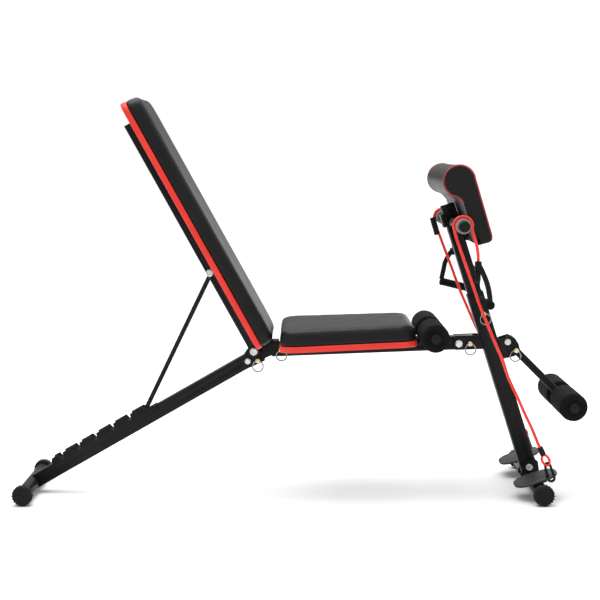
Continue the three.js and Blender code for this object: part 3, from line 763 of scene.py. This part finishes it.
def cord_loop(side, sign):
    """The cord's doubled end, threaded through the snap hook."""
    x, y, z = CORD_LOOP_AT
    lean, rise = math.cos(LOOP_TILT), math.sin(LOOP_TILT)
    points = []
    for i in range(24):
        t = 2 * math.pi * i / 24
        along, wide = LOOP_LONG * math.cos(t), LOOP_WIDE * math.sin(t)
        points.append((x + X_SHIFT + along * lean - wide * rise, sign * y,
                       z + along * rise + wide * lean))
    made = swept(f"cord_loop_{side}", points, circle(LOOP_R, 14), LATEX, (0, 1, 0), True)
    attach(made, "front_post")
    return made


def snap_hook(side, sign):
    """A carabiner with a sprung gate, through the foot plate's edge."""
    matrix = HOOK.copy()
    matrix.translation.y = sign * HOOK_Y
    outline = [*arc((0, HOOK_HEAD_AT), HOOK_HEAD_R, 0, math.pi, 16),
               *arc((0, HOOK_FOOT_AT), HOOK_FOOT_R, math.pi, 2 * math.pi, 16)]
    route = [(p.x, 0, p.y) for p in resampled(outline, 96)]
    link = swept(f"hook_link_{side}", route, circle(HOOK_WIRE, 16), POWDER, (0, 1, 0), True,
                 matrix=matrix)
    gate_path = [(-0.0076, 0, -0.012 + 0.024 * i / 10) for i in range(11)]
    sizes = [0.80, 1, 1, 0.94, 1, 0.94, 1, 0.94, 1, 1, 0.80]
    gate = swept(f"hook_gate_{side}", gate_path, circle(GATE_R, 16), POWDER, scales=sizes,
                 matrix=matrix, sharp=50)
    made = joined(f"carabiner_{side}", [link, gate])
    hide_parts(f"snap_hook_{side}")
    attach(made, "front_post")
    return made


def cords():
    for side, sign in SIDES:
        lead_path, run_path = cord_paths(side, sign)
        lead = swept(f"cord_lead_{side}", lead_path, circle(CORD_R, 16), LATEX)
        run = swept(f"cord_run_{side}", run_path, circle(CORD_R, 16), LATEX)
        on_run = [crimp_piece(side, sign), cord_loop(side, sign), snap_hook(side, sign)]
        for piece in (lead, run):
            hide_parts(f"cord_{side}")
        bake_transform(lead)
        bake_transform(run)


def cord_sleeves():
    low, high = SPOOL_Y - SPOOL_HALF, SPOOL_Y + SPOOL_HALF
    profile = [(0.0131, low), (SPOOL_R - 0.0015, low), (SPOOL_R - 0.0004, low + 0.0006),
               (SPOOL_R, low + 0.0020), (SPOOL_R, high - 0.0020), (SPOOL_R - 0.0004, high - 0.0006),
               (SPOOL_R - 0.0015, high), (0.0131, high)]
    for side, sign in SIDES:
        made = turned(f"cord_roller_{side}", PULLEY, sided(profile, sign), RUBBER, ring=True)
        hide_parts(f"cord_sleeve_{side}")
        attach(made, f"cord_sleeve_{side}_spin")


def far_cord_sleeve():
    """The ribbed stopper on the far cord, just under its pulley."""
    start, end = [Vector(p) for p in mirrored(FAR_SLEEVE, 1)]
    path = [start.lerp(end, i / 24) for i in range(25)]
    scales = [0.9] + [1 if i % 4 < 2 else 0.93 for i in range(23)] + [0.9]
    made = swept("cord_stopper_far", path, circle(STOPPER_R, 20), PLASTIC, scales=scales,
                 sharp=50)
    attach(made, "upper_post")


def handles():
    for side, sign in SIDES:
        body = f"handle_{side}"
        across = (1, 0, 0) if side == "near" else (0, 1, 0)
        section = flat_section(*STRAP_SECTION)
        if side == "far":
            section = [(v, u) for u, v in reversed(section)]
        route = curve_through(mirrored(STRAP[side], sign), 0.003)
        strap = swept(f"strap_{side}", route, section, WEBBING, across)
        x, y, _ = HANDLE_RUN[side][0]
        top = [Vector((x + X_SHIFT, sign * y, STRAP_SLEEVE_FOOT + STRAP_SLEEVE_STEP * i))
               for i in range(25)]
        rings = [0.88] + [1 if i % 3 else 0.93 for i in range(23)] + [0.88]
        sleeve = swept(f"strap_sleeve_{side}", top, circle(STRAP_SLEEVE_R, 20), PLASTIC,
                       scales=rings, sharp=50)
        start, end = [Vector(p) for p in mirrored(GRIP[side], sign)]
        count = 60
        path = [start.lerp(end, i / count) for i in range(count + 1)]
        sizes = [1 - 0.28 * (1 - min(1, min(i, count - i) / 2)) ** 2 for i in range(count + 1)]
        for i in range(4, count - 3):
            sizes[i] = 0.93 + (0.025 if i % 4 < 2 else 0)
        grip = swept(f"grip_{side}", path, circle(GRIP_R, 28), FOAM, scales=sizes, sharp=60)
        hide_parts(f"handle_strap_{side}")
        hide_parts(f"handle_grip_{side}")
        for piece, slot in ((strap, "webbing"), (sleeve, "black_plastic"), (grip, "foam")):
            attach(piece, body)


# ---- CAD nodes that stay -------------------------------------------------------------------


def dress(names, material, edge=0.0006):
    """Gives kept CAD nodes a finish and softens their edges."""
    for name in names:
        node = NODES[name]
        node.data.materials.clear()
        node.data.materials.append(material)
        node.data.polygons.foreach_set("use_smooth", [True] * len(node.data.polygons))
        weld = node.modifiers.new("weld", "WELD")
        weld.merge_threshold = 0.00001
        bevel = node.modifiers.new("edges", "BEVEL")
        bevel.width = edge
        bevel.segments = 2
        bevel.limit_method = "ANGLE"
        bevel.angle_limit = math.radians(32)
        bevel.harden_normals = True


def line_back(name, front):
    """A board's hidden side is lined with black cloth; its edge keeps the red cover."""
    mesh = NODES[name].data
    mesh.materials.append(LINING)
    for face in mesh.polygons:
        if face.normal.dot(front) < -0.9:
            face.material_index = 1


def dress_frame():
    dress(["rear_leg_tube", "toothed_rack", "rear_stabiliser", "centre_bracket",
           "backrest_rail_near", "backrest_rail_far", "backrest_strut", "seat_beam",
           "thigh_crossbar", "post_outer_tube", "fold_bracket", "leg_bracket",
           "front_stabiliser", "leg_arm", "post_inner_tube", "pulley_crossbar"], POWDER)
    dress(["foot_plate_near", "foot_plate_far"], PLATE, 0.0010)
    dress(["backrest_board", "seat_board"], RED, 0.0015)
    line_back("backrest_board", BACK @ Vector((1, 0, 0)) - BACK @ Vector((0, 0, 0)))
    line_back("seat_board", SEAT @ Vector((0, 0, 1)) - SEAT @ Vector((0, 0, 0)))
    dress([f"{place}_bar_cap_{side}" for place in ("thigh", "leg", "pulley")
           for side in ("near", "far")], PLASTIC, 0.0012)


# ---- camera, floor and light ---------------------------------------------------------------


def camera():
    data = bpy.data.cameras.new("camera")
    data.lens = CAMERA_LENS
    data.sensor_width = 36
    made = bpy.data.objects.new("camera", data)
    made.matrix_world = (
        Matrix.Translation(CAMERA_AT)
        @ Matrix.Rotation(math.radians(90 - CAMERA_PITCH), 4, "X")
        @ Matrix.Rotation(math.radians(CAMERA_ROLL), 4, "Z")
    )
    bpy.context.scene.collection.objects.link(made)
    bpy.context.scene.camera = made


def floor():
    corners = [(x * FLOOR_HALF, y * FLOOR_HALF, FLOOR_Z)
               for x, y in ((-1, -1), (1, -1), (1, 1), (-1, 1))]
    pale = surface("pale_floor", grey(0.86), grey(0.88), (0.8, 0.9), moulded, 0.5,
                   Specular_IOR_Level=0.1)
    mesh_piece("floor", corners, [(0, 1, 2, 3)], pale)


def area_light(name, at, aim, size, power):
    data = bpy.data.lights.new(name, "AREA")
    data.shape = "DISK"
    data.size = size
    data.energy = power
    made = bpy.data.objects.new(name, data)
    made.location = at
    made.rotation_mode = "QUATERNION"
    made.rotation_quaternion = (Vector(aim) - Vector(at)).to_track_quat("-Z", "Y")
    bpy.context.scene.collection.objects.link(made)


def surround():
    """A white surround for the camera, and a soft dome that is brightest overhead."""
    world = bpy.data.worlds.new("studio")
    world.use_nodes = True
    tree = world.node_tree
    output = tree.nodes["World Output"]
    dome = tree.nodes["Background"]
    white = tree.nodes.new("ShaderNodeBackground")
    white.inputs["Strength"].default_value = 1.0
    white.inputs["Color"].default_value = (1, 1, 1, 1)
    place = tree.nodes.new("ShaderNodeTexCoord")
    split = tree.nodes.new("ShaderNodeSeparateXYZ")
    height = tree.nodes.new("ShaderNodeMapRange")
    height.inputs["From Min"].default_value = 0.0
    height.inputs["From Max"].default_value = 0.9
    height.inputs["To Min"].default_value = DOME_LOW
    height.inputs["To Max"].default_value = DOME_HIGH
    path = tree.nodes.new("ShaderNodeLightPath")
    mix = tree.nodes.new("ShaderNodeMixShader")
    tree.links.new(place.outputs["Generated"], split.inputs["Vector"])
    tree.links.new(split.outputs["Z"], height.inputs["Value"])
    tree.links.new(height.outputs["Result"], dome.inputs["Strength"])
    tree.links.new(path.outputs["Is Camera Ray"], mix.inputs["Fac"])
    tree.links.new(dome.outputs["Background"], mix.inputs[1])
    tree.links.new(white.outputs["Background"], mix.inputs[2])
    tree.links.new(mix.outputs["Shader"], output.inputs["Surface"])
    dome.inputs["Color"].default_value = (1, 1, 1, 1)
    bpy.context.scene.world = world


def light():
    surround()
    bpy.context.scene.view_settings.view_transform = "Standard"
    area_light("top", **TOP_LIGHT)
    area_light("right", **RIGHT_LIGHT)


# ---- everything ----------------------------------------------------------------------------

camera()
cords()
cord_sleeves()
far_cord_sleeve()
handles()
cushions()
preacher_pad()
rollers()
foot_caps()
bolts()
pull_pins()
dress_frame()
floor()
light()
